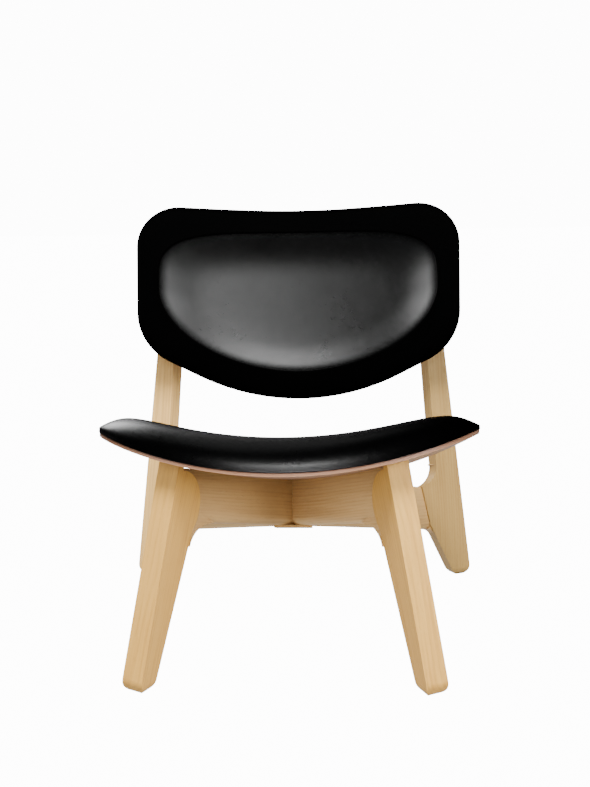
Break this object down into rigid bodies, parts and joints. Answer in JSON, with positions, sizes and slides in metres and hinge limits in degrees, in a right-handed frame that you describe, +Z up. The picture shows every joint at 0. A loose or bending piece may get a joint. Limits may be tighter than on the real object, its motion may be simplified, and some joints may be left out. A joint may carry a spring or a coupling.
{
  "type": "lounge chair",
  "caption": "Low lounge chair with a padded dished seat and curved padded back in black leather on a crossed-rail frame of pale oak slab legs.",
  "frame": {"origin": "on the floor below the middle of the chair's outer box", "axes": "+Z up, -Y towards the front of the seat, +X to the right as the chair is seen from the front"},
  "size_m": [0.6588, 0.6361, 0.7221],
  "materials": {
    "oak": "satin",
    "plywood": "satin",
    "foam": "matte",
    "leather": "satin",
    "steel": "satin"
  },
  "bodies": {
    "root": {"front_leg_left": "oak", "front_leg_right": "oak", "back_leg_left": "oak", "back_leg_right": "oak", "rail_a": "oak", "rail_b": "oak", "front_dowels": "oak", "back_dowels": "oak", "cross_plate": "oak", "plate_screws": "steel", "seat_shell": "plywood", "seat_foam": "foam", "seat_cover": "leather", "seat_block_left": "oak", "seat_block_right": "oak", "seat_bolts": "steel", "seat_washers": "steel", "seat_tnuts": "steel", "back_shell": "plywood", "back_foam": "foam", "back_cover": "leather", "back_block_left": "oak", "back_block_right": "oak", "back_bolts": "steel", "back_washers": "steel", "back_tnuts": "steel"}
  },
  "joints": []
}
